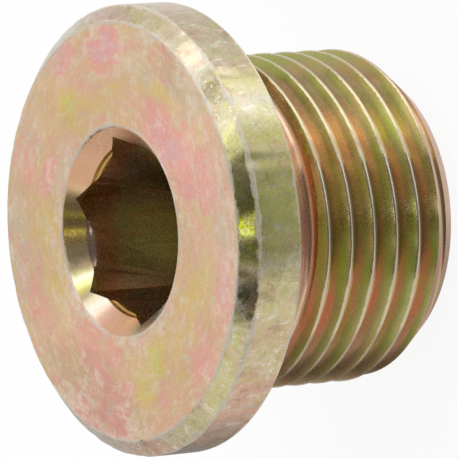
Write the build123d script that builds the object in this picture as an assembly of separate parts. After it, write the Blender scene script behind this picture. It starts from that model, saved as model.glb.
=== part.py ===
from build123d import *
import os
from math import radians, tan

# Hex socket plug with a collar, for a 3/8 inch parallel pipe port. It is one piece of steel:
# turned and drilled from bar, then broached for an 8 mm hex key. It stands on its thread end,
# with Z along the thread axis and the collar and socket at the top. All lengths are in millimetres.

# ---- shank ----
thread_d = 16.5  # over the thread's crests
shank_l = 11.75  # from the collar's seat to the end face
end_face_d = 13.9  # flat left inside the lead-in chamfer
end_chamfer_angle = 37.0  # from the thread axis
neck_depth = 0.9  # of the undercut that the thread runs out into, just deeper than the thread's grooves
neck_l = 3.2  # from the seat to the undercut's far wall
neck_corner_r = 0.3  # nose radius of the grooving tool

# ---- collar ----
collar_d = 22.0
collar_l = 3.1  # from the seat to the head face
face_chamfer_w = 0.8  # width across the head face
face_chamfer_l = 0.7  # length along the rim
rim_round_r = 0.12  # rounding of the chamfer's two edges
seat_edge_break = 0.15  # on the seat's outer edge

# ---- socket ----
key_af = 8.0  # across the flats of the hex key
key_clearance = 0.1  # over the key's flats
socket_l = 7.5  # from the head face to the end of the broached flats
mouth_d = 10.2  # countersink at the head face
mouth_angle = 90.0  # included angle of the countersink
mouth_l = 0.84  # depth of the countersink
mouth_round_r = 0.3
lead_angle = 50.0  # included angle of the broach's lead-in cone, below the countersink
broach_allowance = 0.15  # the drilled hole is smaller than the hex by this, so the flats are cut whole
drill_angle = 118.0  # included angle of the drill's point

# ---- sizes that follow ----
thread_r = thread_d / 2
end_face_r = end_face_d / 2
neck_r = thread_r - neck_depth
collar_r = collar_d / 2
face_r = collar_r - face_chamfer_w
mouth_r = mouth_d / 2
hex_af = key_af + key_clearance
drill_r = (hex_af - broach_allowance) / 2

seat_z = shank_l
face_z = seat_z + collar_l
chamfer_foot_z = face_z - face_chamfer_l
end_chamfer_top_z = (thread_r - end_face_r) / tan(radians(end_chamfer_angle))
neck_foot_z = seat_z - neck_l

lead_top_r = mouth_r - mouth_l * tan(radians(mouth_angle / 2))
lead_top_z = face_z - mouth_l
lead_foot_z = lead_top_z - (lead_top_r - drill_r) / tan(radians(lead_angle / 2))
socket_floor_z = face_z - socket_l
drill_tip_z = socket_floor_z - drill_r / tan(radians(drill_angle / 2))


def corners_at(section, *points):
    """The section's corners that lie at the given (radius, height) points."""
    return [section.vertices().sort_by_distance((r, 0, z))[0] for r, z in points]


def turned_blank():
    """The shank, the collar and the drilled, countersunk hole, as one revolved section."""
    outline = Polyline(
        (0, 0, 0),
        (end_face_r, 0, 0),
        (thread_r, 0, end_chamfer_top_z),
        (thread_r, 0, neck_foot_z),
        (neck_r, 0, neck_foot_z),
        (neck_r, 0, seat_z),
        (collar_r, 0, seat_z),
        (collar_r, 0, chamfer_foot_z),
        (face_r, 0, face_z),
        (mouth_r, 0, face_z),
        (lead_top_r, 0, lead_top_z),
        (drill_r, 0, lead_foot_z),
        (drill_r, 0, socket_floor_z),
        (0, 0, drill_tip_z),
        close=True,
    )
    section = make_face(outline)
    section = fillet(corners_at(section, (neck_r, neck_foot_z), (neck_r, seat_z)), neck_corner_r)
    section = chamfer(corners_at(section, (collar_r, seat_z)), seat_edge_break)
    section = fillet(corners_at(section, (collar_r, chamfer_foot_z), (face_r, face_z)), rim_round_r)
    section = fillet(corners_at(section, (mouth_r, face_z)), mouth_round_r)
    return revolve(section, Axis.Z)


def broached_hex():
    """The hex that the broach cuts, from the head face to the socket floor, with corners on the X axis."""
    hexagon = RegularPolygon(hex_af / 2, 6, major_radius=False)
    return Pos(0, 0, socket_floor_z) * extrude(hexagon, socket_l)


plug = turned_blank() - broached_hex()
plug.label = "plug"

os.makedirs("parts", exist_ok=True)
export_step(plug, "parts/plug.step")
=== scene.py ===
"""Looks of a collared hex socket plug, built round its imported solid.

The plug stands on its thread end: Z runs along the thread's axis and the head is on top.
Sizes are in millimetres until a mesh is finished, and the finished meshes are in metres.
"""

from __future__ import annotations

import logging
import math
from dataclasses import dataclass, field
from enum import Enum

import bmesh
import bpy
import numpy as np
from mathutils import Matrix, Vector, noise

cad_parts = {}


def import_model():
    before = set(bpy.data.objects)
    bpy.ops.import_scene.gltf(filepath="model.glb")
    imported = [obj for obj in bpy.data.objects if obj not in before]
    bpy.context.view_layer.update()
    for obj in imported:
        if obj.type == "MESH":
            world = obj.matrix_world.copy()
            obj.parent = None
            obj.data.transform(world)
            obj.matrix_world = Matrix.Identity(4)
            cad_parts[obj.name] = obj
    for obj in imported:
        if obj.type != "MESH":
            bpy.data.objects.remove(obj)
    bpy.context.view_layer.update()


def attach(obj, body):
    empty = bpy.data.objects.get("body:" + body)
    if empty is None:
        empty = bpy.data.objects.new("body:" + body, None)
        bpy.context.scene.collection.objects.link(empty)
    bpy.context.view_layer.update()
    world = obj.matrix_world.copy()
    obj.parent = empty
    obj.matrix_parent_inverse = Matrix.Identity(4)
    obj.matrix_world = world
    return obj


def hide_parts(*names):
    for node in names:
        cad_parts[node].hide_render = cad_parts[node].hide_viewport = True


LOG = logging.getLogger("plug")
METRES = 0.001  # one millimetre

Socket = bpy.types.NodeSocket
Triple = tuple[float, float, float]
Span = tuple[float, float]  # where something starts and where it is whole


class Hand(Enum):
    """The way in which a thread winds."""

    RIGHT = 1
    LEFT = -1


class Op(Enum):
    """Arithmetic that a finish is worked out with."""

    ADD = "ADD"
    SUBTRACT = "SUBTRACT"
    MULTIPLY = "MULTIPLY"
    GREATEST = "MAXIMUM"
    LEAST = "MINIMUM"
    ROOT = "SQRT"
    SIZE = "ABSOLUTE"
    ANGLE = "ARCTAN2"
    MULTIPLY_ADD = "MULTIPLY_ADD"


# ---------------------------------------------------------------- meshes


@dataclass(frozen=True)
class Corner:
    """A corner of a turned section, and how far it is rounded."""

    radius: float
    height: float
    rounding: float = 0.0

    def point(self) -> np.ndarray:
        """The corner as a point of the section."""
        return np.array((self.radius, self.height))

    def arc(self, before: Corner, after: Corner, steps: int = 6) -> list[np.ndarray]:
        """The points that the rounded corner leaves in the section.

        Args:
            before: The corner that comes before this one.
            after: The corner that comes after it.
            steps: Straight pieces in the rounding.

        Returns:
            The corner itself, or the points of its rounding in order.
        """
        if self.rounding == 0.0:
            return [self.point()]
        inward = before.point() - self.point()
        outward = after.point() - self.point()
        inward /= np.linalg.norm(inward)
        outward /= np.linalg.norm(outward)
        half = 0.5 * math.acos(float(np.clip(inward @ outward, -1.0, 1.0)))
        centre = self.point() + (inward + outward) / np.linalg.norm(inward + outward) * (
            self.rounding / math.sin(half)
        )
        reach = self.rounding / math.tan(half)
        start = self.point() + inward * reach - centre
        end = self.point() + outward * reach - centre
        turn = math.atan2(start[0] * end[1] - start[1] * end[0], float(start @ end))
        angles = [turn * step / steps for step in range(steps + 1)]
        return [
            centre
            + np.array(
                (
                    start[0] * math.cos(angle) - start[1] * math.sin(angle),
                    start[0] * math.sin(angle) + start[1] * math.cos(angle),
                )
            )
            for angle in angles
        ]


class Bench:
    """Where meshes are made, cut and finished."""

    @staticmethod
    def solid(name: str, points: np.ndarray, faces: list[tuple[int, ...]]) -> bpy.types.Object:
        """Make a mesh object with all its normals outwards.

        Args:
            name: The object's name.
            points: One row of three numbers for each vertex.
            faces: The vertices of each face, in order.

        Returns:
            The new object, which is in the scene.
        """
        mesh = bpy.data.meshes.new(name)
        mesh.from_pydata(points.tolist(), [], faces)
        edit = bmesh.new()
        edit.from_mesh(mesh)
        bmesh.ops.recalc_face_normals(edit, faces=edit.faces)
        edit.to_mesh(mesh)
        edit.free()
        piece = bpy.data.objects.new(name, mesh)
        bpy.context.scene.collection.objects.link(piece)
        return piece

    @staticmethod
    def cut(piece: bpy.types.Object, tool: bpy.types.Object) -> None:
        """Cut a tool's room out of a piece. The tool is then thrown away.

        Args:
            piece: The piece that is changed.
            tool: The closed shape that cuts it.
        """
        step = piece.modifiers.new("cut", "BOOLEAN")
        step.operation = "DIFFERENCE"
        step.solver = "EXACT"
        step.object = tool
        graph = bpy.context.evaluated_depsgraph_get()
        cut_mesh = bpy.data.meshes.new_from_object(piece.evaluated_get(graph))
        piece.modifiers.clear()
        spent = piece.data
        piece.data = cut_mesh
        bpy.data.meshes.remove(spent)
        bpy.data.meshes.remove(tool.data)

    @staticmethod
    def finish(piece: bpy.types.Object, weld: float, crease: float) -> None:
        """Weld, shade and scale a piece that is still in millimetres.

        Args:
            piece: The piece that is finished.
            weld: Vertices nearer to each other than this become one.
            crease: Edges that turn by more than this many degrees stay sharp.
        """
        edit = bmesh.new()
        edit.from_mesh(piece.data)
        bmesh.ops.remove_doubles(edit, verts=edit.verts, dist=weld)
        bmesh.ops.dissolve_degenerate(edit, edges=edit.edges, dist=weld)
        bmesh.ops.recalc_face_normals(edit, faces=edit.faces)
        limit = math.radians(crease)
        for face in edit.faces:
            face.smooth = True
        for edge in edit.edges:
            edge.smooth = len(edge.link_faces) == 2 and edge.calc_face_angle(0.0) < limit
        bmesh.ops.scale(edit, vec=Vector((METRES,) * 3), verts=edit.verts)
        edit.to_mesh(piece.data)
        edit.free()


# ---------------------------------------------------------------- the plug's shape


@dataclass
class TurnedBlank:
    """The plug as it leaves the lathe: shank, undercut, collar and countersunk hole."""

    stock_radius: float = 8.33  # the shank before it is threaded
    end_face_radius: float = 6.95
    end_edge: float = 0.1
    end_chamfer: float = 37.0  # degrees from the axis
    neck_radius: float = 7.35
    neck_foot: float = 8.55  # height of the undercut's far wall
    neck_corner: float = 0.3
    wall_rings: tuple[float, float] = (8.1, 7.85)  # radii of rings that let that wall be torn
    seat_height: float = 11.75
    seat_edge_break: float = 0.05
    collar_radius: float = 11.0
    collar_edge: float = 0.12
    chamfer_width: float = 0.8  # across the head face
    chamfer_length: float = 0.7  # along the rim
    chamfer_rings: tuple[float, float] = (0.27, 0.73)  # shares of the way from the rim to the face
    face_height: float = 14.85
    mouth_radius: float = 5.1
    mouth_edge: float = 0.3
    mouth_depth: float = 0.84  # of the 90 degree countersink
    lead_edge: float = 0.03
    step_radius: float = 4.2  # the small ledge that the broach left in the lead-in
    step_height: float = 13.85
    step_foot_radius: float = 4.12
    step_foot: float = 13.76
    sharp_edge: float = 0.02  # rounding of the edges that are left sharp
    drill_radius: float = 3.975
    lead_foot: float = 13.399
    drill_foot: float = 7.35
    drill_tip: float = 4.962  # of a 118 degree point
    columns: int = 480
    dent_depth: float = 0.035  # how far knocks have pushed the collar's edges in
    dent_size: float = 0.7
    dent_reach: float = 0.25  # how far from an edge a knock shows
    dent_start: float = 0.05  # noise at which a knock starts
    dent_range: float = 0.4  # this much more noise makes it whole
    torn_depth: float = 0.05  # raggedness of the undercut's wall where the thread runs out
    torn_from: float = -92.0  # degrees from the X axis
    torn_to: float = -36.0
    torn_inside: float = 7.8  # nearer to the axis nothing is torn
    torn_grain: float = 2.3  # tears for each millimetre

    @property
    def chamfer_foot(self) -> float:
        """Height of the chamfer's lower edge."""
        return self.face_height - self.chamfer_length

    @property
    def face_radius(self) -> float:
        """Radius of the head face inside the chamfer."""
        return self.collar_radius - self.chamfer_width

    @property
    def lead_radius(self) -> float:
        """Radius where the countersink ends and the lead-in starts."""
        return self.mouth_radius - self.mouth_depth

    @property
    def lead_height(self) -> float:
        """Height where the countersink ends and the lead-in starts."""
        return self.face_height - self.mouth_depth

    def corners(self) -> list[Corner]:
        """The section's corners, from the end face's centre to the drill's tip."""
        end_width = self.stock_radius - self.end_face_radius
        stock_foot = end_width / math.tan(math.radians(self.end_chamfer))
        return [
            Corner(0.0, 0.0),
            Corner(self.end_face_radius, 0.0, self.end_edge),
            Corner(self.stock_radius, stock_foot),
            Corner(self.stock_radius, self.neck_foot),
            *(Corner(radius, self.neck_foot) for radius in self.wall_rings),
            Corner(self.neck_radius, self.neck_foot, self.neck_corner),
            Corner(self.neck_radius, self.seat_height, self.neck_corner),
            Corner(self.collar_radius - self.seat_edge_break, self.seat_height, self.sharp_edge),
            Corner(self.collar_radius, self.seat_height + self.seat_edge_break, self.sharp_edge),
            Corner(self.collar_radius, self.chamfer_foot, self.collar_edge),
            *(self.on_chamfer(share) for share in self.chamfer_rings),
            Corner(self.face_radius, self.face_height, self.collar_edge),
            Corner(self.mouth_radius, self.face_height, self.mouth_edge),
            Corner(self.lead_radius, self.lead_height, self.lead_edge),
            Corner(self.step_radius, self.step_height, self.sharp_edge),
            Corner(self.step_foot_radius, self.step_foot, self.sharp_edge),
            Corner(self.drill_radius, self.lead_foot),
            Corner(self.drill_radius, self.drill_foot),
            Corner(0.0, self.drill_tip),
        ]

    def on_chamfer(self, share: float) -> Corner:
        """A point that holds the chamfer flat between the knocks on its edges.

        Args:
            share: How far it lies from the rim towards the face, from 0 to 1.

        Returns:
            The point, as a corner with no rounding.
        """
        return Corner(
            self.collar_radius + (self.face_radius - self.collar_radius) * share,
            self.chamfer_foot + (self.face_height - self.chamfer_foot) * share,
        )

    def section(self) -> list[np.ndarray]:
        """The section's points, with its corners rounded."""
        corners = self.corners()
        points = [corners[0].point()]
        for before, corner, after in zip(corners, corners[1:], corners[2:]):
            points.extend(corner.arc(before, after))
        points.append(corners[-1].point())
        return points

    def knocked(self, radius: float, height: float, angle: float) -> Triple:
        """A vertex of the blank, moved as wear and a blunt tool have moved it.

        Args:
            radius: The vertex's distance from the axis.
            height: Its height.
            angle: Its place round the axis, in radians.

        Returns:
            The vertex's place.
        """
        from_rim = math.hypot(radius - self.collar_radius, height - self.chamfer_foot)
        from_face = math.hypot(radius - self.face_radius, height - self.face_height)
        on_edge = max(0.0, 1.0 - min(from_rim, from_face) / self.dent_reach)
        spot = Vector((radius * math.cos(angle), radius * math.sin(angle), height))
        knock = max(0.0, noise.noise(spot / self.dent_size) - self.dent_start)
        dent = self.dent_depth * on_edge * knock / self.dent_range
        degrees = math.degrees(math.atan2(math.sin(angle), math.cos(angle)))
        on_wall = math.isclose(height, self.neck_foot) and radius > self.torn_inside
        torn = on_wall and self.torn_from < degrees < self.torn_to
        tear = self.torn_depth * noise.noise(spot * self.torn_grain) if torn else 0.0
        return (
            (radius - dent) * math.cos(angle),
            (radius - dent) * math.sin(angle),
            height - 0.5 * dent + tear,
        )

    def mesh(self) -> bpy.types.Object:
        """Turn the section about the axis.

        Returns:
            The blank, a closed mesh in millimetres.
        """
        section = self.section()
        rings = section[1:-1]
        points = [(0.0, 0.0, float(section[0][1])), (0.0, 0.0, float(section[-1][1]))]
        for radius, height in rings:
            for column in range(self.columns):
                angle = math.tau * column / self.columns
                points.append(self.knocked(float(radius), float(height), angle))
        faces: list[tuple[int, ...]] = []
        last = 2 + (len(rings) - 1) * self.columns
        for column in range(self.columns):
            beside = (column + 1) % self.columns
            faces.append((0, 2 + beside, 2 + column))
            faces.append((1, last + column, last + beside))
            for ring in range(len(rings) - 1):
                low = 2 + ring * self.columns
                high = low + self.columns
                faces.append((low + column, low + beside, high + beside, high + column))
        return Bench.solid("blank", np.array(points), faces)


@dataclass
class PipeThread:
    """A 55 degree pipe thread with rounded crests and roots."""

    major_radius: float = 8.25
    pitch: float = 1.337
    depth: float = 0.856
    rounding: float = 0.1836  # of the roots
    crest_rounding: float = 0.12
    flank_angle: float = 27.5  # from the plane across the axis
    hand: Hand = Hand.RIGHT
    crest_height: float = 0.583  # of one crest, on the X axis
    turns_below: int = 2
    turns: int = 9
    sleeve_radius: float = 9.6
    columns: int = 360
    arc_steps: int = 6
    flank_steps: int = 2
    crest_wear: float = 0.02  # how far the crests are worn, at most
    wear_reach: float = 0.1  # how far below the crests wear shows
    wear_radius: float = 8.0  # of the ring on which its noise is read
    wear_grain: float = 1.9  # spots of wear for each millimetre

    def form(self) -> list[tuple[float, float]]:
        """One pitch of the thread's outline, from a crest to just before the next.

        Returns:
            Pairs of the distance along the axis and the radius.
        """
        sweep = math.radians(90.0 - self.flank_angle)
        crest_centre = self.major_radius - self.crest_rounding
        root_centre = self.major_radius - self.depth + self.rounding
        half = self.arc_steps // 2
        crest = [
            (
                self.crest_rounding * math.sin(sweep * step / half),
                crest_centre + self.crest_rounding * math.cos(sweep * step / half),
            )
            for step in range(half + 1)
        ]
        root = [
            (
                self.pitch / 2 - self.rounding * math.sin(sweep * step / half),
                root_centre - self.rounding * math.cos(sweep * step / half),
            )
            for step in range(half, -1, -1)
        ]
        flank = [
            tuple(
                crest[-1][axis] + (root[0][axis] - crest[-1][axis]) * step / (self.flank_steps + 1)
                for axis in (0, 1)
            )
            for step in range(1, self.flank_steps + 1)
        ]
        falling = crest + flank + root
        rising = [(self.pitch - along, radius) for along, radius in falling[-2:0:-1]]
        return falling + rising

    def worn(self, radius: float, angle: float, height: float) -> float:
        """The radius of a point of the thread, less what wear has taken from a crest.

        Args:
            radius: The radius as cut.
            angle: The point's place round the axis, in radians.
            height: The point's height.

        Returns:
            The radius as it is now.
        """
        near_crest = max(0.0, 1.0 - (self.major_radius - radius) / self.wear_reach)
        ring = self.wear_radius
        spot = Vector((ring * math.cos(angle), ring * math.sin(angle), height))
        return radius - self.crest_wear * near_crest * abs(noise.noise(spot * self.wear_grain))

    def winding(self, column: int) -> tuple[float, float]:
        """Where a column of the sleeve starts.

        Args:
            column: The column's number.

        Returns:
            Its angle round the axis, in radians, and the height of its foot.
        """
        foot = self.crest_height - self.turns_below * self.pitch
        rise = self.hand.value * self.pitch * column / self.columns
        return math.tau * column / self.columns, foot + rise

    def sleeve(self) -> bpy.types.Object:
        """The closed sleeve that cuts the thread: its bore has the thread's form.

        Returns:
            The sleeve, in millimetres.
        """
        form = self.form()
        per_turn = len(form)
        rows = self.turns * per_turn
        points: list[Triple] = []

        def spot(radius: float, angle: float, height: float) -> Triple:
            """A point given by its radius, angle and height."""
            return radius * math.cos(angle), radius * math.sin(angle), height

        for column in range(self.columns):
            angle, lift = self.winding(column)
            for row in range(rows + 1):
                along, radius = form[row % per_turn]
                height = lift + self.pitch * (row // per_turn) + along
                points.append(spot(self.worn(radius, angle, height), angle, height))
        outer = len(points)
        for column in range(self.columns):
            angle, lift = self.winding(column)
            for turn in range(self.turns + 1):
                points.append(spot(self.sleeve_radius, angle, lift + self.pitch * turn))

        def bore(column: int, row: int) -> int:
            """The index of a bore vertex, which moves up a turn past the last column."""
            return (column % self.columns) * (rows + 1) + row + per_turn * (column // self.columns)

        def skin(column: int, turn: int) -> int:
            """The index of a vertex on the sleeve's outside."""
            around = column % self.columns
            return outer + around * (self.turns + 1) + turn + column // self.columns

        faces: list[tuple[int, ...]] = []
        for column in range(self.columns):
            beside = column + 1
            wraps = beside == self.columns
            top_row = rows - (per_turn if wraps else 0)
            top_turn = self.turns - (1 if wraps else 0)
            for row in range(top_row):
                low = bore(column, row), bore(column, row + 1)
                faces.append((*low, bore(beside, row + 1), bore(beside, row)))
            for turn in range(top_turn):
                low = skin(column, turn), skin(beside, turn)
                faces.append((*low, skin(beside, turn + 1), skin(column, turn + 1)))
            faces.append((bore(column, 0), bore(beside, 0), skin(beside, 0), skin(column, 0)))
            top = bore(column, top_row), skin(column, top_turn)
            faces.append((*top, skin(beside, top_turn), bore(beside, top_row)))
        first = tuple(bore(0, row) for row in range(per_turn + 1))
        faces.append((*first, skin(0, 1), skin(0, 0)))
        end = self.columns - 1
        last = tuple(bore(end, row) for row in range(rows - per_turn, rows + 1))
        faces.append((*last, skin(end, self.turns), skin(end, self.turns - 1)))
        return Bench.solid("sleeve", np.array(points), faces)


@dataclass
class HexBroach:
    """The broach that squares out the socket's six flats."""

    across_flats: float = 8.1
    foot: float = 7.35  # level with the end of the drilled wall
    top: float = 16.0  # clear of the head face

    def mesh(self) -> bpy.types.Object:
        """The room that the broach cuts, with corners on the X axis.

        Returns:
            A six-sided closed prism, in millimetres.
        """
        corner = self.across_flats / 2 / math.cos(math.radians(30))
        angles = [math.radians(60 * side) for side in range(6)]
        points = [
            (corner * math.cos(angle), corner * math.sin(angle), height)
            for height in (self.foot, self.top)
            for angle in angles
        ]
        sides = [(side, (side + 1) % 6, (side + 1) % 6 + 6, side + 6) for side in range(6)]
        faces = [tuple(range(6)), tuple(range(6, 12)), *sides]
        return Bench.solid("broach", np.array(points), faces)


# ---------------------------------------------------------------- finishes


@dataclass(frozen=True)
class Tint:
    """A colour in display values from 0 to 255."""

    red: float
    green: float
    blue: float

    def linear(self) -> tuple[float, float, float, float]:
        """The colour in the linear values that a shader takes."""
        shares = [value / 255 for value in (self.red, self.green, self.blue)]
        scene = [s / 12.92 if s <= 0.04045 else ((s + 0.055) / 1.055) ** 2.4 for s in shares]
        return scene[0], scene[1], scene[2], 1.0


class Wiring:
    """Makes the nodes of one tree and joins them."""

    def __init__(self, tree: bpy.types.NodeTree) -> None:
        """Start with an empty tree."""
        self.tree = tree
        tree.nodes.clear()

    def node(self, kind: str, **settings: object) -> bpy.types.Node:
        """A new node.

        Args:
            kind: The node's type name, without its ShaderNode prefix.
            **settings: Attributes that are set on it.

        Returns:
            The node.
        """
        made = self.tree.nodes.new(f"ShaderNode{kind}")
        for name, value in settings.items():
            setattr(made, name, value)
        return made

    def feed(self, socket: Socket, value: Socket | float | Triple) -> None:
        """Join a socket to another, or set its value.

        Args:
            socket: The input that is fed.
            value: An output that it is joined to, or a plain value.
        """
        if isinstance(value, bpy.types.NodeSocket):
            self.tree.links.new(value, socket)
        else:
            socket.default_value = value

    def sum(self, op: Op, *values: Socket | float) -> Socket:
        """The result of one piece of arithmetic.

        Args:
            op: What is done.
            *values: The numbers or sockets that it is done to.

        Returns:
            The socket with the result.
        """
        made = self.node("Math", operation=op.value)
        for socket, value in zip(made.inputs, values):
            self.feed(socket, value)
        return made.outputs[0]

    def squares(self, first: Socket, second: Socket) -> Socket:
        """The sum of two squares."""
        parts = (self.sum(Op.MULTIPLY, value, value) for value in (first, second))
        return self.sum(Op.ADD, *parts)

    def dot(self, place: Socket, way: Triple) -> Socket:
        """How far a direction goes along a fixed way.

        Args:
            place: The direction.
            way: The way, one unit long.

        Returns:
            The socket with the distance.
        """
        made = self.node("VectorMath", operation="DOT_PRODUCT")
        self.feed(made.inputs[0], place)
        made.inputs[1].default_value = way
        return made.outputs["Value"]

    def place(self, x: Socket | float, y: Socket | float, z: Socket | float) -> Socket:
        """A vector of three numbers.

        Args:
            x: Its first number.
            y: Its second number.
            z: Its third number.

        Returns:
            The socket with the vector.
        """
        made = self.node("CombineXYZ")
        for socket, value in zip(made.inputs, (x, y, z)):
            self.feed(socket, value)
        return made.outputs[0]

    def stretched(self, place: Socket, scale: Triple) -> Socket:
        """Coordinates that are scaled by a number for each axis.

        Args:
            place: The coordinates.
            scale: The three numbers.

        Returns:
            The socket with the scaled coordinates.
        """
        made = self.node("VectorMath", operation="MULTIPLY")
        self.feed(made.inputs[0], place)
        made.inputs[1].default_value = scale
        return made.outputs[0]

    def mottle(
        self,
        place: Socket,
        scale: float,
        detail: float = 3.0,
        warp: float = 0.0,
        rough: float = 0.6,
    ) -> Socket:
        """Cloudy noise from 0 to 1.

        Args:
            place: The coordinates that it is made in.
            scale: Clouds for each unit of the coordinates.
            detail: How many finer layers it has.
            warp: How much it is bent out of shape.
            rough: How strong each finer layer is beside the one before it.

        Returns:
            The socket with the noise.
        """
        made = self.node("TexNoise", noise_dimensions="3D")
        self.feed(made.inputs["Vector"], place)
        made.inputs["Scale"].default_value = scale
        made.inputs["Detail"].default_value = detail
        made.inputs["Roughness"].default_value = rough
        made.inputs["Distortion"].default_value = warp
        return made.outputs["Fac"]

    def sway(self, value: Socket, reach: float) -> Socket:
        """Noise from 0 to 1 turned into a sway about 0."""
        return self.sum(Op.MULTIPLY_ADD, value, reach, -0.5 * reach)

    def ramp(self, value: Socket, stops: tuple[tuple[float, Tint], ...]) -> Socket:
        """A colour looked up along a row of colours.

        Args:
            value: Where to look, from 0 to 1.
            stops: Each colour and its place, in order.

        Returns:
            The socket with the colour.
        """
        made = self.node("ValToRGB")
        self.feed(made.inputs[0], value)
        ends = made.color_ramp.elements
        ends[0].position, ends[0].color = stops[0][0], stops[0][1].linear()
        ends[1].position, ends[1].color = stops[-1][0], stops[-1][1].linear()
        for position, tint in stops[1:-1]:
            ends.new(position).color = tint.linear()
        return made.outputs["Color"]

    def shade(self, colour: Socket, level: Socket | float) -> Socket:
        """A colour made lighter or darker.

        Args:
            colour: The colour.
            level: What it is multiplied by.

        Returns:
            The socket with the changed colour.
        """
        made = self.node("VectorMath", operation="SCALE")
        self.feed(made.inputs[0], colour)
        self.feed(made.inputs["Scale"], level)
        return made.outputs[0]

    def cast(self, share: Socket, colour: Socket, way: Triple) -> Socket:
        """A colour whose red, green and blue are multiplied by a share of three numbers.

        Args:
            share: How much of the change there is, from 0 to 1.
            colour: The colour.
            way: What red, green and blue are multiplied by where the share is 1.

        Returns:
            The socket with the changed colour.
        """
        made = self.node("Mix", data_type="VECTOR")
        self.feed(made.inputs[0], share)
        made.inputs[4].default_value = (1.0, 1.0, 1.0)
        made.inputs[5].default_value = way
        product = self.node("VectorMath", operation="MULTIPLY")
        self.feed(product.inputs[0], colour)
        self.feed(product.inputs[1], made.outputs[1])
        return product.outputs[0]

    def rise(
        self, value: Socket, low: float, high: float, top: float = 1.0, foot: float = 0.0
    ) -> Socket:
        """A smooth step.

        Args:
            value: What the step depends on.
            low: Where it starts.
            high: Where it ends. Below low, the step goes down.
            top: Its value past the end.
            foot: Its value before the start.

        Returns:
            The socket with the step.
        """
        made = self.node("MapRange", interpolation_type="SMOOTHSTEP")
        self.feed(made.inputs["Value"], value)
        ends = (low, high, foot, top) if low < high else (high, low, top, foot)
        for name, number in zip(("From Min", "From Max", "To Min", "To Max"), ends):
            made.inputs[name].default_value = number
        return made.outputs["Result"]

    def past(self, value: Socket, border: float, blur: float = 0.04) -> Socket:
        """How far a value is past a border, from 0 to 1.

        Args:
            value: The value.
            border: The border.
            blur: Half the width of the step there. Below 0, the step goes down.

        Returns:
            The socket with the step.
        """
        return self.rise(value, border - blur, border + blur)

    def blend(self, share: Socket | float, under: Socket | Tint, over: Socket | Tint) -> Socket:
        """One colour laid over another.

        Args:
            share: How much of the upper colour shows.
            under: The lower colour.
            over: The upper colour.

        Returns:
            The socket with the blended colour.
        """
        made = self.node("Mix", data_type="RGBA", clamp_factor=True)
        self.feed(made.inputs[0], share)
        for socket, value in ((made.inputs[6], under), (made.inputs[7], over)):
            self.feed(socket, value.linear() if isinstance(value, Tint) else value)
        return made.outputs[2]


@dataclass(frozen=True)
class Patch:
    """A cloud on the head face, and how much it changes what lies under it."""

    x: float
    y: float
    length: float
    width: float
    turn: float  # degrees from the X axis to its length
    amount: float
    fade: Span = (2.1, 0.05)  # squares of the distance over which it comes in

    def share(self, w: Wiring, x: Socket, y: Socket) -> Socket:
        """How much of the patch there is at a place, from 0 to its amount.

        Args:
            w: The wiring of the finish.
            x: The place along the X axis, in millimetres.
            y: The place along the Y axis.

        Returns:
            The socket with the share.
        """
        cosine, sine = math.cos(math.radians(self.turn)), math.sin(math.radians(self.turn))
        across = w.sum(Op.SUBTRACT, x, self.x)
        along = w.sum(Op.SUBTRACT, y, self.y)
        u = w.sum(
            Op.ADD,
            w.sum(Op.MULTIPLY, across, cosine / self.length),
            w.sum(Op.MULTIPLY, along, sine / self.length),
        )
        v = w.sum(
            Op.SUBTRACT,
            w.sum(Op.MULTIPLY, along, cosine / self.width),
            w.sum(Op.MULTIPLY, across, sine / self.width),
        )
        return w.rise(w.squares(u, v), *self.fade, top=self.amount)


@dataclass(frozen=True)
class Spot:
    """A place on the plug, as the finish sees it. Lengths are in millimetres."""

    point: Socket
    x: Socket
    y: Socket
    z: Socket
    radius: Socket
    turn: Socket  # the angle from the X axis, in degrees
    swayed: Socket  # the same angle, less even

    @classmethod
    def of(cls, w: Wiring) -> Spot:
        """Work the place out.

        Args:
            w: The wiring of the finish.

        Returns:
            The place and its coordinates.
        """
        point = w.stretched(w.node("TexCoord").outputs["Object"], (1 / METRES,) * 3)
        split = w.node("SeparateXYZ")
        w.feed(split.inputs[0], point)
        x, y, z = split.outputs
        radius = w.sum(Op.ROOT, w.squares(x, y))
        turn = w.sum(Op.MULTIPLY, w.sum(Op.ANGLE, y, x), 180 / math.pi)
        sway = w.sway(w.mottle(point, 0.9, detail=5.0, warp=0.4, rough=0.65), 13.0)
        return cls(point, x, y, z, radius, turn, w.sum(Op.ADD, turn, sway))

    def ringed(
        self, w: Wiring, across: float, round_axis: float, turn: Socket | None = None
    ) -> Socket:
        """Coordinates that are stretched round the axis.

        Args:
            w: The wiring of the finish.
            across: Their units for each millimetre out and up.
            round_axis: Their units for each degree.
            turn: The angle to use in place of the even one.

        Returns:
            The socket with the coordinates.
        """
        return w.place(
            w.sum(Op.MULTIPLY, self.radius, across),
            w.sum(Op.MULTIPLY, self.z, across),
            w.sum(Op.MULTIPLY, self.turn if turn is None else turn, round_axis),
        )


LEMON = Tint(207, 195, 112)
GOLD = Tint(216, 185, 123)
TAN = Tint(214, 180, 141)
SALMON = Tint(220, 170, 145)
PINK = Tint(228, 162, 150)
MAUVE = Tint(218, 168, 164)
LICHEN = Tint(198, 191, 170)
BARE = Tint(214, 206, 192)
PEARL = Tint(213, 204, 189)
IVORY = Tint(197, 192, 174)
SHELL = Tint(224, 208, 180)
CHALK = Tint(232, 226, 214)
WHEAT = Tint(195, 190, 154)
CITRON = Tint(220, 215, 150)
LEAF = Tint(226, 221, 142)
REED = Tint(206, 205, 128)
HAY = Tint(201, 192, 138)
STRAW = Tint(206, 192, 148)
OLIVE = Tint(190, 185, 118)
BROOM = Tint(180, 166, 96)
LIME = Tint(208, 220, 58)
MOSS = Tint(150, 144, 74)
SLATE = Tint(152, 145, 108)
SMOKE = Tint(150, 138, 110)
STONE = Tint(182, 173, 142)
MUSHROOM = Tint(197, 184, 154)
KHAKI = Tint(199, 180, 140)
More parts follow.
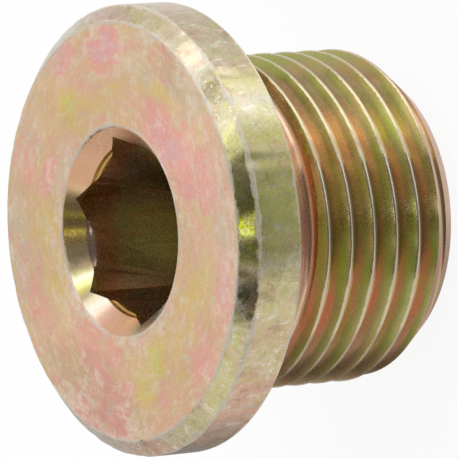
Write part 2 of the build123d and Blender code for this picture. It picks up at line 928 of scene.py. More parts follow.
FAWN = Tint(192, 172, 144)
SAND = Tint(214, 195, 155)
ROSE = Tint(208, 181, 166)
CORAL = Tint(202, 164, 141)
BRICK = Tint(187, 148, 125)
UMBER = Tint(174, 140, 104)
TAUPE = Tint(161, 146, 127)
BLUSH = Tint(234, 196, 172)
CLAY = Tint(212, 166, 132)
HONEY = Tint(228, 196, 150)
SIENNA = Tint(192, 160, 108)
ALE = Tint(152, 134, 62)
COPPER = Tint(229, 182, 139)
RUSSET = Tint(222, 163, 132)
CHESTNUT = Tint(191, 142, 119)
WILLOW = Tint(190, 190, 130)
PEWTER = Tint(190, 178, 150)
ASH = Tint(184, 174, 154)
HAZEL = Tint(208, 148, 108)
AMBER = Tint(232, 196, 116)
FLAX = Tint(250, 222, 172)
# dark olive for the painted shade band on the chamfer
PAINTED_SHADE_OLIVE = Tint(112, 110, 62)
BRONZE = Tint(146, 131, 84)
THYME = Tint(172, 156, 109)
SAGE = Tint(184, 180, 123)
FERN = Tint(170, 165, 111)
LICHEN_GREEN = Tint(204, 188, 140)
RUST = Tint(150, 118, 88)
LOAM = Tint(128, 98, 74)
BISCUIT = Tint(177, 155, 126)
ALMOND = Tint(198, 168, 130)
TERRACOTTA = Tint(204, 160, 130)
PEACH = Tint(209, 178, 137)
APRICOT = Tint(228, 194, 152)
CREAM = Tint(204, 191, 160)
MILK = Tint(238, 228, 200)
DUN = Tint(170, 154, 126)
PEAT = Tint(120, 101, 75)
OYSTER = Tint(222, 204, 182)
CHINA = Tint(238, 224, 204)
TOFFEE = Tint(192, 150, 86)

Drift = tuple[tuple[float, Tint], ...]  # colours in order, each at its angle in degrees


@dataclass(frozen=True)
class YellowZinc:
    """Yellow passivated zinc on turned steel, rubbed pale on its edges.

    The film on the head face runs from lemon through gold, tan and salmon to mauve as it
    gets thicker. On the other surfaces the colour drifts with the angle round the axis, and
    some stretches of these rows hold painted light and shade in place of reflections.
    """

    name: str = "yellow_zinc"
    blank: TurnedBlank = field(default_factory=TurnedBlank)
    crest_radius: float = PipeThread.major_radius
    bore_foot: Span = (3.0, 4.0)  # heights over which the bore's finish comes in
    shank_skin: Span = (0.25, 0.1)  # and how far outside the crests the shank's does
    face_edge_band: float = 2.2  # width of the ring inside the face's edge that has more wisps
    mouth_edge_band: float = 1.0  # and of the one round the mouth
    wall_from: Span = (0.3, 0.6)  # depths below the countersink over which the walls start
    brown_wall: Span = (2.9, 2.0)  # depths below the face over which they get browner upwards
    flank_middle: Span = (7.7, 7.9)  # radii between the flanks' lower and upper colours
    thin_film: Span = (7.88, 8.05)  # radii over which the flanks' film gets thin
    neck_wall_middle: Span = (7.45, 7.7)  # radii between the far wall's two colours
    neck_blush: Span = (0.3, 0.1)  # heights over the far wall over which the neck turns rosy
    neck_wall_skin: Span = (0.06, 0.02)  # and over which the wall's own finish comes in
    crest_skin: Span = (0.08, 0.04)  # depths below the crests over which they turn pale
    end_skin: Span = (0.08, 0.03)  # heights over the end chamfer over which its finish comes in
    face_rub: float = 0.08  # how far the rubbing reaches from the face's edge
    rim_rub: float = 0.1  # from the rim's
    seat_rub: float = 0.12  # from the seat's
    mouth_rub: float = 0.05  # and from the mouth's rounding
    mouth_rounding: float = 0.08  # how far outside the mouth's edge that is
    rub_blur: float = 0.05
    bare_share: float = 0.75  # how much of a rubbed edge is bare
    tones_from: float = 0.82  # brightness of the darkest part
    tones_to: float = 1.18  # and of the lightest
    roughness: float = 0.25
    grain_roughness: float = 0.08  # between its smoothest and its roughest grain
    bare_roughness: float = 0.3  # how much rougher bare metal is
    bare_dullness: float = 0.5  # how much less like a mirror it is
    streak: float = 0.92  # how much wider turning marks make a reflection along the axis
    streak_turn: float = 0.25  # of a whole turn
    relief_depth: float = 0.02
    relief_strength: float = 0.4
    bore_relief: float = 0.06  # its strength in the countersink and the socket
    green_cast: Triple = (0.9, 1.07, 0.72)  # where the thread's film is thin
    red_cast: Triple = (1.1, 0.93, 0.86)  # where it is thick
    film: tuple[tuple[float, Tint], ...] = (
        (0.0, LEMON),
        (0.22, GOLD),
        (0.45, TAN),
        (0.63, SALMON),
        (0.85, PINK),
        (1.0, MAUVE),
    )
    middle_film: float = 0.5
    # patches where the film is thicker, or thinner if the amount is below 0:
    clouds: tuple[Patch, ...] = (
        Patch(-7.1, -0.9, 1.9, 0.9, -42.0, -0.42),
        Patch(-5.0, -4.6, 2.6, 1.1, -55.0, -0.22),
        Patch(-6.2, 3.0, 2.8, 1.5, 20.0, 0.22),
        Patch(-4.1, -8.4, 1.5, 0.7, -12.0, 0.41),
        Patch(-7.0, -5.7, 1.3, 0.8, -50.0, 0.3),
        Patch(8.9, -1.1, 1.4, 1.1, 80.0, 0.41),
        Patch(9.3, 3.2, 1.2, 0.7, 100.0, 0.37),
        Patch(3.9, -4.8, 1.8, 1.0, 32.0, 0.38),
        Patch(1.9, -6.6, 1.4, 0.9, 20.0, 0.3),
        Patch(1.1, -8.4, 1.6, 1.1, 0.0, 0.28),
        Patch(6.6, 2.6, 1.2, 1.0, 60.0, -0.31),
        Patch(6.4, -0.6, 1.3, 0.6, 100.0, -0.18),
        Patch(8.7, 1.6, 2.2, 0.9, 85.0, 0.16),
        Patch(5.8, -5.4, 0.9, 0.5, 50.0, -0.33),
        Patch(-0.2, 6.4, 3.0, 1.0, 4.0, -0.25),
        Patch(-2.4, 8.5, 1.3, 0.8, 10.0, 0.15),
        Patch(3.8, 5.4, 0.9, 0.6, -40.0, 0.25),
        Patch(-8.9, 3.9, 2.6, 0.8, 68.0, 0.25),
        Patch(4.6, 7.6, 1.6, 0.8, -35.0, 0.16),
    )
    # patches of grey:
    greys: tuple[Patch, ...] = (
        Patch(1.0, 9.2, 2.6, 0.9, -8.0, 0.59),
        Patch(9.4, 3.6, 1.6, 0.7, -70.0, 0.42),
        Patch(-5.4, 7.4, 1.6, 0.8, 40.0, 0.25),
        Patch(5.4, -7.4, 2.0, 0.9, 40.0, 0.51),
        Patch(3.8, 3.9, 1.4, 0.8, -45.0, 0.59),
        Patch(-1.4, -8.9, 1.6, 0.8, -5.0, 0.59),
        Patch(7.2, -3.8, 1.2, 0.7, 60.0, 0.59),
        Patch(6.0, 6.4, 1.4, 0.8, -45.0, 0.42),
    )
    # patches that are lighter, or darker if the amount is below 0:
    tones: tuple[Patch, ...] = (
        Patch(-7.6, 4.6, 4.4, 2.0, 55.0, -0.16),
        Patch(1.0, -8.0, 5.0, 2.0, 0.0, 0.09),
        Patch(8.6, 2.6, 2.6, 1.4, 80.0, 0.05),
        Patch(6.2, -7.2, 2.2, 1.0, 40.0, -0.1),
    )
    chamfer_colours: Drift = (
        (-180.0, BRICK),
        (-172.0, MUSHROOM),
        (-150.0, STRAW),
        # From -127.5 to -93 degrees this row holds painted light and shade: a painted lit edge at
        # -125, a painted dark band from -121.3 to -117 and a painted lime glint from -101 to -97.5.
        (-127.5, HAY),
        (-125.0, SHELL),
        (-123.0, HAY),
        (-121.3, PAINTED_SHADE_OLIVE),
        (-117.0, PAINTED_SHADE_OLIVE),
        (-114.0, SLATE),
        (-108.0, OLIVE),
        (-103.5, MOSS),
        (-101.0, LIME),
        (-97.5, LIME),
        (-93.0, MOSS),
        (-88.0, REED),
        (-84.0, LEAF),
        (-76.0, CITRON),
        (-71.0, WHEAT),
        # From -66 to -57 degrees the row is duller: painted shade.
        (-66.0, STONE),
        (-61.0, SMOKE),
        (-57.0, SMOKE),
        (-52.0, IVORY),
        (-46.0, SHELL),
        (-38.0, SHELL),
        (-31.0, SAND),
        (-18.0, FAWN),
        (0.0, ROSE),
        (14.0, PEARL),
        (70.0, STRAW),
        (140.0, TAUPE),
        (158.0, TAUPE),
        (180.0, BRICK),
    )
    rim_colours: Drift = (
        (-180.0, TAUPE),
        (-173.0, UMBER),
        (-165.0, BRICK),
        (-158.0, CORAL),
        (-142.0, CORAL),
        (-136.0, KHAKI),
        (-126.0, KHAKI),
        (-121.0, STRAW),
        (-113.0, HAY),
        (-108.0, STONE),
        (-103.0, OLIVE),
        (-96.0, REED),
        (-90.0, REED),
        (-86.0, OLIVE),
        (-80.0, HAY),
        (-76.0, OLIVE),
        (-70.0, WHEAT),
        (-65.0, IVORY),
        (-60.0, HAY),
        (-54.0, FAWN),
        (-48.0, WHEAT),
        (-42.0, FAWN),
        (-30.0, FAWN),
        (-20.0, ROSE),
        (0.0, PEARL),
        (35.0, STRAW),
        (60.0, CORAL),
        (85.0, HAY),
        (120.0, PEARL),
        (150.0, TAUPE),
        (180.0, TAUPE),
    )
    mouth_colours: Drift = (
        (-180.0, FAWN),
        (-168.0, FAWN),
        (-156.0, CHALK),
        (-120.0, SHELL),
        (0.0, CLAY),
        (50.0, CLAY),
        # From 57 to 125 degrees this row holds painted light and shade: painted dark bands, painted
        # bright streaks and a painted highlight at 108.
        (57.0, HONEY),
        (64.0, SIENNA),
        (71.0, ALE),
        (75.5, SIENNA),
        (79.0, ALE),
        (82.0, ALE),
        (85.0, AMBER),
        (91.0, FLAX),
        (98.5, FLAX),
        (102.0, BISCUIT),
        (105.0, HAY),
        (108.0, MILK),
        (113.0, CITRON),
        (117.0, BROOM),
        (121.0, SMOKE),
        (125.0, MUSHROOM),
        (130.0, PEARL),
        (140.0, BLUSH),
        (147.0, SALMON),
        (157.0, CLAY),
        (170.0, CLAY),
        (180.0, FAWN),
    )
    ledge_colours: Drift = (
        (-180.0, TOFFEE),
        (66.0, TOFFEE),
        (82.0, ROSE),
        (98.0, ROSE),
        (114.0, TOFFEE),
        (180.0, TOFFEE),
    )
    wall_colours: Drift = (
        (-180.0, ASH),
        (0.0, PEWTER),
        (30.0, PEWTER),
        (44.0, ASH),
        (52.0, ASH),
        (60.0, PEWTER),
        (70.0, WILLOW),
        (106.0, WILLOW),
        (114.0, BISCUIT),
        (122.0, PEWTER),
        (180.0, ASH),
    )
    neck_colours: Drift = (
        (-180.0, TAUPE),
        (-136.0, STRAW),
        (-122.0, CHESTNUT),
        (-112.0, CHESTNUT),
        (-105.0, RUSSET),
        (-97.0, RUSSET),
        (-89.0, COPPER),
        (-74.0, COPPER),
        (-66.0, CORAL),
        (-56.0, FAWN),
        (-48.0, PEARL),
        (-20.0, STRAW),
        (30.0, COPPER),
        (90.0, STRAW),
        (180.0, TAUPE),
    )
    upper_colours: Drift = (
        # The darker stretch from -180 to -151 degrees is painted shade.
        (-180.0, RUST),
        (-172.0, LOAM),
        (-163.0, RUST),
        (-151.0, BRONZE),
        (-140.0, THYME),
        (-130.0, FERN),
        (-117.0, SAGE),
        (-105.0, SAGE),
        (-99.0, THYME),
        # The lighter stretch from -92 to -82 degrees is a painted highlight that adds to the
        # softbox's reflection.
        (-92.0, LICHEN_GREEN),
        (-82.0, LICHEN_GREEN),
        (-75.0, THYME),
        (-60.0, THYME),
        (-53.0, BRONZE),
        (-42.0, BRONZE),
        (-34.0, THYME),
        (90.0, SAGE),
        (180.0, RUST),
    )
    lower_colours: Drift = (
        # The darker stretch from -180 to -158 degrees is painted shade.
        (-180.0, RUST),
        (-170.0, RUST),
        (-158.0, BRICK),
        (-148.0, TERRACOTTA),
        (-116.0, TERRACOTTA),
        (-108.0, ALMOND),
        (-99.0, PEACH),
        # The lighter stretch from -93 to -81 degrees is a painted highlight that adds to the
        # softbox's reflection.
        (-93.0, APRICOT),
        (-81.0, APRICOT),
        (-75.0, PEACH),
        (-66.0, PEACH),
        (-59.0, ALMOND),
        (-50.0, BISCUIT),
        (-38.0, BISCUIT),
        (80.0, ALMOND),
        (180.0, RUST),
    )
    crest_colours: Drift = (
        # The darker stretch from -180 to -145 degrees, darkest from -173 to -165, is painted shade.
        (-180.0, DUN),
        (-173.0, PEAT),
        (-165.0, PEAT),
        (-155.0, DUN),
        (-145.0, DUN),
        (-139.0, CREAM),
        (-98.0, CREAM),
        # The lighter stretch from -92 to -81 degrees is a painted highlight that adds to the
        # softbox's reflection.
        (-92.0, MILK),
        (-81.0, MILK),
        (-75.0, CREAM),
        (120.0, CREAM),
        (180.0, DUN),
    )

    def material(self) -> bpy.types.Material:
        """Wire the finish up.

        Returns:
            The material, with colour, gloss and fine relief worked out from the place on the plug.
        """
        made = bpy.data.materials.new(self.name)
        made.use_nodes = True
        w = Wiring(made.node_tree)
        at = Spot.of(w)
        marks, wisps = at.ringed(w, 5.0, 0.03), at.ringed(w, 2.2, 0.13)

        colour = self.head(w, at, wisps)
        colour = w.blend(w.past(at.radius, self.blank.face_radius), colour, self.side(w, at))
        inside = w.past(at.radius, self.blank.mouth_radius, -0.04)
        in_bore = w.sum(Op.MULTIPLY, inside, w.rise(at.z, *self.bore_foot))
        colour = w.blend(in_bore, colour, self.bore(w, at))
        below = w.past(at.z, self.blank.seat_height, -0.02)
        slim = w.rise(at.radius, *(self.crest_radius + skin for skin in self.shank_skin))
        outside = w.sum(Op.SUBTRACT, 1.0, in_bore)
        on_shank = w.sum(Op.MULTIPLY, w.sum(Op.MULTIPLY, below, slim), outside)
        colour = w.blend(on_shank, colour, self.screw(w, at, marks))

        rubbed = self.rubbed(w, at, wisps)
        colour = w.blend(rubbed, colour, BARE)
        tone = w.mottle(at.point, 0.6, detail=7.0, warp=0.2, rough=0.8)
        reach = self.tones_to - self.tones_from
        colour = w.shade(colour, w.sum(Op.MULTIPLY_ADD, tone, reach, self.tones_from))

        grain = w.mottle(at.point, 7.0, detail=5.0)
        smoothest = self.roughness - self.grain_roughness / 2
        rough = w.sum(Op.ADD, w.rise(grain, 0.3, 0.7, top=self.grain_roughness), smoothest)
        rough = w.sum(Op.ADD, rough, w.sum(Op.MULTIPLY, rubbed, self.bare_roughness))

        shader = w.node("BsdfPrincipled")
        shader.inputs["Anisotropic"].default_value = self.streak
        shader.inputs["Anisotropic Rotation"].default_value = self.streak_turn
        tangent = w.node("Tangent", direction_type="RADIAL", axis="Z")
        w.feed(shader.inputs["Tangent"], tangent.outputs[0])
        w.feed(shader.inputs["Base Color"], colour)
        metal = w.sum(Op.MULTIPLY_ADD, rubbed, -self.bare_dullness, 1.0)
        w.feed(shader.inputs["Metallic"], metal)
        w.feed(shader.inputs["Roughness"], rough)
        w.feed(shader.inputs["Normal"], self.relief(w, at, marks, rubbed, in_bore))
        output = w.node("OutputMaterial")
        w.feed(output.inputs["Surface"], shader.outputs[0])
        return made

    def head(self, w: Wiring, at: Spot, wisps: Socket) -> Socket:
        """The head face: a film of many colours, with grey clouds and pale flecks.

        Args:
            w: The wiring of the finish.
            at: The place on the plug.
            wisps: Coordinates that are stretched round the axis, as rubbing marks are.

        Returns:
            The socket with the colour.
        """
        x = w.sum(Op.ADD, at.x, w.sway(w.mottle(at.point, 0.7, detail=4.0, warp=0.6), 1.9))
        y = w.sum(Op.ADD, at.y, w.sway(w.mottle(at.point, 0.71, detail=4.0, warp=1.3), 1.9))

        def patched(op: Op, value: Socket | float, patches: tuple[Patch, ...]) -> Socket:
            """A value that is changed by each patch in turn.

            Args:
                op: How a patch changes it.
                value: The value.
                patches: The patches.

            Returns:
                The socket with the changed value.
            """
            for patch in patches:
                value = w.sum(op, value, patch.share(w, x, y))
            return value

        film = w.sum(Op.ADD, w.sway(w.mottle(at.point, 0.2, detail=2.0), 0.5), self.middle_film)
        broad = w.mottle(at.point, 0.6, detail=2.0, warp=1.2, rough=0.55)
        drawn = w.mottle(wisps, 0.8, detail=2.0, warp=1.2, rough=0.55)
        film = w.sum(Op.ADD, w.sum(Op.ADD, film, w.sway(broad, 0.75)), w.sway(drawn, 0.55))
        colour = w.ramp(patched(Op.ADD, film, self.clouds), self.film)
        grey = w.rise(w.mottle(at.point, 0.8, detail=4.0, warp=0.8), 0.52, 0.72, top=0.55)
        grey = patched(Op.GREATEST, grey, self.greys)
        fray = w.mottle(at.point, 2.6, warp=0.5, rough=0.7)
        grey = w.sum(Op.MULTIPLY, grey, w.rise(fray, 0.3, 0.62))
        colour = w.blend(grey, colour, LICHEN)
        colour = w.shade(colour, patched(Op.ADD, 1.0, self.tones))

        outer, inner = self.blank.face_radius, self.blank.mouth_radius
        edge = w.sum(
            Op.GREATEST,
            w.rise(at.radius, outer - self.face_edge_band, outer, top=0.05),
            w.rise(at.radius, inner + self.mouth_edge_band, inner, top=0.06),
        )
        crowd = w.rise(w.mottle(at.point, 0.28, detail=2.0, warp=0.5), 0.42, 0.62, top=0.08)
        crowd = w.sum(Op.ADD, edge, crowd)
        wisp = w.sum(Op.ADD, w.mottle(wisps, 1.1, detail=4.0, warp=0.6), crowd)
        colour = w.blend(w.rise(wisp, 0.5, 0.74, top=0.55), colour, OYSTER)
        fleck = w.mottle(at.point, 2.2, detail=2.0, warp=0.4, rough=0.65)
        fleck = w.sum(Op.ADD, fleck, crowd)
        return w.blend(w.rise(fleck, 0.6, 0.76, top=0.3), colour, CHINA)

    @staticmethod
    def drift(w: Wiring, turn: Socket, colours: Drift) -> Socket:
        """The colour of a row that runs round the axis.

        Args:
            w: The wiring of the finish.
            turn: The angle round the axis, in degrees.
            colours: The row, from -180 to 180 degrees.

        Returns:
            The socket with the colour at that angle.
        """
        share = w.sum(Op.MULTIPLY_ADD, turn, 1 / 360, 0.5)
        return w.ramp(share, tuple(((angle + 180) / 360, tint) for angle, tint in colours))

    def side(self, w: Wiring, at: Spot) -> Socket:
        """The collar's chamfer and side: their colours drift round the axis, and the chamfer's row
        holds painted light and shade.

        Args:
            w: The wiring of the finish.
            at: The place on the plug.

        Returns:
            The socket with the colour.
        """
        chamfer = self.drift(w, at.swayed, self.chamfer_colours)
        rim = self.drift(w, at.swayed, self.rim_colours)
        colour = w.blend(w.past(at.z, self.blank.chamfer_foot), rim, chamfer)
        spots = w.mottle(at.point, 0.75, detail=5.0, warp=0.9, rough=0.65)
        colour = w.blend(w.rise(spots, 0.54, 0.59, top=0.4), colour, CORAL)
        colour = w.blend(w.rise(spots, 0.46, 0.41, top=0.4), colour, OLIVE)
        clouds = w.mottle(at.point, 1.3, detail=6.0, warp=0.6, rough=0.75)
        colour = w.blend(w.rise(clouds, 0.52, 0.62, top=0.45), colour, BARE)
        colour = w.shade(colour, w.rise(clouds, 0.47, 0.36, top=0.78, foot=1.0))
        drawn = w.stretched(at.point, (1.0, 1.0, 0.4))
        scuffs = w.mottle(drawn, 1.9, detail=6.0, warp=0.7, rough=0.8)
        colour = w.blend(w.rise(scuffs, 0.57, 0.64, top=0.65), colour, CHALK)
        flecks = w.mottle(at.point, 4.5, detail=4.0, warp=0.6, rough=0.8)
        return w.blend(w.rise(flecks, 0.6, 0.67, top=0.6), colour, CHALK)

    def bore(self, w: Wiring, at: Spot) -> Socket:
        """The countersink and the socket, whose walls are streaked by the broach. Between 57 and
        125 degrees the countersink's row holds painted shade, painted streaks and a painted
        highlight.

        Args:
            w: The wiring of the finish.
            at: The place on the plug.

        Returns:
            The socket with the colour.
        """
        drawn = w.stretched(at.point, (1.0, 1.0, 0.12))
        streaks = w.mottle(drawn, 1.5, detail=4.0, warp=0.3)
        wall = self.drift(w, w.sum(Op.ADD, at.turn, w.sway(streaks, 16.0)), self.wall_colours)
        wall = w.blend(w.rise(streaks, 0.52, 0.6, top=0.35), wall, HAZEL)
        height = w.sum(Op.ADD, at.z, w.sway(w.mottle(at.point, 0.5), 1.6))
        low, high = (self.blank.face_height - depth for depth in self.brown_wall)
        wall = w.blend(w.rise(height, low, high, top=0.72), wall, HAZEL)
        wall = w.shade(wall, w.rise(w.mottle(drawn, 2.4), 0.35, 0.65, top=1.06, foot=0.9))
        bent = w.sum(Op.ADD, at.turn, w.sway(w.mottle(at.point, 1.1, detail=4.0), 8.0))
        mouth = self.drift(w, bent, self.mouth_colours)
        ledge = self.drift(w, at.turn, self.ledge_colours)
        mouth = w.blend(w.past(at.z, self.blank.lead_height, -0.03), mouth, ledge)
        start, whole = (self.blank.lead_height - depth for depth in self.wall_from)
        return w.blend(w.rise(at.z, start, whole), mouth, wall)

    def screw(self, w: Wiring, at: Spot, marks: Socket) -> Socket:
        """The shank: a coppery undercut, red-brown roots, greener flanks and pale crests, with
        painted shade from -180 to -150 degrees and a painted highlight from -93 to -81 degrees.

        Args:
            w: The wiring of the finish.
            at: The place on the plug.
            marks: Coordinates that are stretched round the axis, as turning marks are.

        Returns:
            The socket with the colour.
        """
        drawn = at.ringed(w, 1.1, 0.055, at.swayed)
        uneven = w.sway(w.mottle(drawn, 0.9, detail=4.0, warp=0.4), 0.36)
        out = w.sum(Op.ADD, at.radius, uneven)
        lower = self.drift(w, at.swayed, self.lower_colours)
        upper = self.drift(w, at.swayed, self.upper_colours)
        colour = w.blend(w.rise(out, *self.flank_middle), lower, upper)
        colour = w.cast(w.rise(out, *self.thin_film, top=0.45), colour, self.green_cast)
        hues = w.mottle(drawn, 0.9, detail=4.0, warp=0.6)
        colour = w.cast(w.rise(hues, 0.47, 0.62), colour, self.green_cast)
        colour = w.cast(w.rise(hues, 0.5, 0.36), colour, self.red_cast)

        foot = self.blank.neck_foot
        undercut = self.drift(w, at.swayed, self.neck_colours)
        rosy = w.rise(at.z, *(foot + rise for rise in self.neck_blush), top=0.8)
        undercut = w.blend(rosy, undercut, BLUSH)
        wall = w.blend(w.rise(out, *self.neck_wall_middle), PEARL, SIENNA)
        on_wall = w.rise(at.z, *(foot + rise for rise in self.neck_wall_skin))
        undercut = w.blend(on_wall, undercut, wall)
        turned = w.rise(w.mottle(marks, 2.0), 0.4, 0.6, top=1.1, foot=0.8)
        undercut = w.shade(undercut, turned)
        colour = w.blend(w.past(at.z, foot, 0.02), colour, undercut)

        frayed = w.sum(Op.ADD, at.radius, w.sway(w.mottle(at.point, 5.0), 0.14))
        crest = w.rise(frayed, *(self.crest_radius - depth for depth in self.crest_skin))
        colour = w.blend(crest, colour, self.drift(w, at.swayed, self.crest_colours))
        slope = 1 / math.tan(math.radians(self.blank.end_chamfer))
        cone = w.sum(Op.MULTIPLY_ADD, at.radius, slope, -self.blank.end_face_radius * slope)
        on_end = w.rise(w.sum(Op.SUBTRACT, at.z, cone), *self.end_skin)
        return w.blend(on_end, colour, CORAL)

    def rubbed(self, w: Wiring, at: Spot, wisps: Socket) -> Socket:
        """Where the edges are rubbed down to pale metal.

        Args:
            w: The wiring of the finish.
            at: The place on the plug.
            wisps: Coordinates that are stretched round the axis, as rubbing marks are.

        Returns:
            The socket with the share that is bare, from 0 to 1.
        """
        fine = w.mottle(at.point, 1.6, detail=6.0, warp=0.5, rough=0.75)
        ragged = w.sum(Op.ADD, w.sway(fine, 0.6), w.sway(w.mottle(wisps, 0.5), 0.4))
        blank = self.blank
        edges = (
            (blank.face_radius, blank.face_height, self.face_rub),
            (blank.collar_radius, blank.chamfer_foot, self.rim_rub),
            (blank.collar_radius, blank.seat_height, self.seat_rub),
            (blank.mouth_radius + self.mouth_rounding, blank.face_height, self.mouth_rub),
        )
        total: Socket | None = None
        for radius, height, reach in edges:
            out = w.sum(Op.SUBTRACT, at.radius, radius)
            up = w.sum(Op.SUBTRACT, at.z, height)
            far = w.sum(Op.ROOT, w.squares(out, up))
            ends = reach + self.rub_blur, reach - self.rub_blur
            near = w.rise(w.sum(Op.ADD, far, ragged), *ends, top=self.bare_share)
            total = near if total is None else w.sum(Op.GREATEST, total, near)
        return total

    def relief(
        self, w: Wiring, at: Spot, marks: Socket, rubbed: Socket, in_bore: Socket
    ) -> Socket:
        """Fine relief: turning marks, grain and knocks.

        Args:
            w: The wiring of the finish.
            at: The place on the plug.
            marks: Coordinates that are stretched round the axis, as turning marks are.
            rubbed: Where the surface is bare.
            in_bore: Where the countersink and the socket are, which are smoother.

        Returns:
            The socket with the bent normal.
        """
        turned = w.sum(Op.MULTIPLY, w.mottle(marks, 2.2), 0.3)
        grain = w.sum(Op.MULTIPLY, w.mottle(at.point, 7.0, detail=5.0, rough=0.7), 0.28)
        knocks = w.mottle(at.point, 3.0, detail=4.0)
        knocks = w.sum(Op.MULTIPLY, knocks, w.sum(Op.ADD, rubbed, 0.15))
        bump = w.node("Bump")
        less = self.bore_relief - self.relief_strength
        strength = w.sum(Op.MULTIPLY_ADD, in_bore, less, self.relief_strength)
        w.feed(bump.inputs["Strength"], strength)
        bump.inputs["Distance"].default_value = self.relief_depth * METRES
        w.feed(bump.inputs["Height"], w.sum(Op.ADD, turned, w.sum(Op.ADD, grain, knocks)))
        return bump.outputs[0]


# ---------------------------------------------------------------- assembly


@dataclass
class Plug:
    """The whole plug: a turned, broached and threaded piece in one finish."""

    blank: TurnedBlank = field(default_factory=TurnedBlank)
    broach: HexBroach = field(default_factory=HexBroach)
    thread: PipeThread = field(default_factory=PipeThread)
    node: str = "plug"

    def build(self) -> bpy.types.Object:
        """Turn, broach and thread the plug.

        Returns:
            The finished mesh, in metres, in place of the plain solid.
        """
        piece = self.blank.mesh()
        Bench.cut(piece, self.broach.mesh())
        Bench.cut(piece, self.thread.sleeve())
        Bench.finish(piece, weld=0.0005, crease=28.0)
        piece.name = "threaded_plug"
        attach(piece, "root")
        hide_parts(self.node)
        return piece

    def dress(self, piece: bpy.types.Object) -> None:
        """Give the piece its finish, which follows the blank's edges and the thread's crests.

        Args:
            piece: The finished mesh.
        """
        zinc = YellowZinc(blank=self.blank, crest_radius=self.thread.major_radius)
        piece.data.materials.clear()
        piece.data.materials.append(zinc.material())


@dataclass(frozen=True)
class Glint:
    """A narrow lit slot that runs sideways across the tent's dim opening."""

    side: float
    up: float
    half_length: float
    half_width: float
    level: float

    def light(self, w: Wiring, side: Socket, up: Socket, front: Socket) -> Socket:
        """What the slot adds to the tent's brightness.

        Args:
            w: The wiring of the world.
            side: How far a direction goes to the right.
            up: How far it goes up.
            front: How far it goes to the front.

        Returns:
            The socket with the brightness.
        """
        aside = w.sum(Op.SIZE, w.sum(Op.SUBTRACT, side, self.side))
        above = w.sum(Op.SIZE, w.sum(Op.SUBTRACT, up, self.up))
        share = w.sum(
            Op.MULTIPLY,
            w.rise(aside, self.half_length, 0.6 * self.half_length),
            w.rise(above, self.half_width, 0.4 * self.half_width, self.level),
        )
        return w.sum(Op.MULTIPLY, share, w.rise(front, 0.0, 0.2))


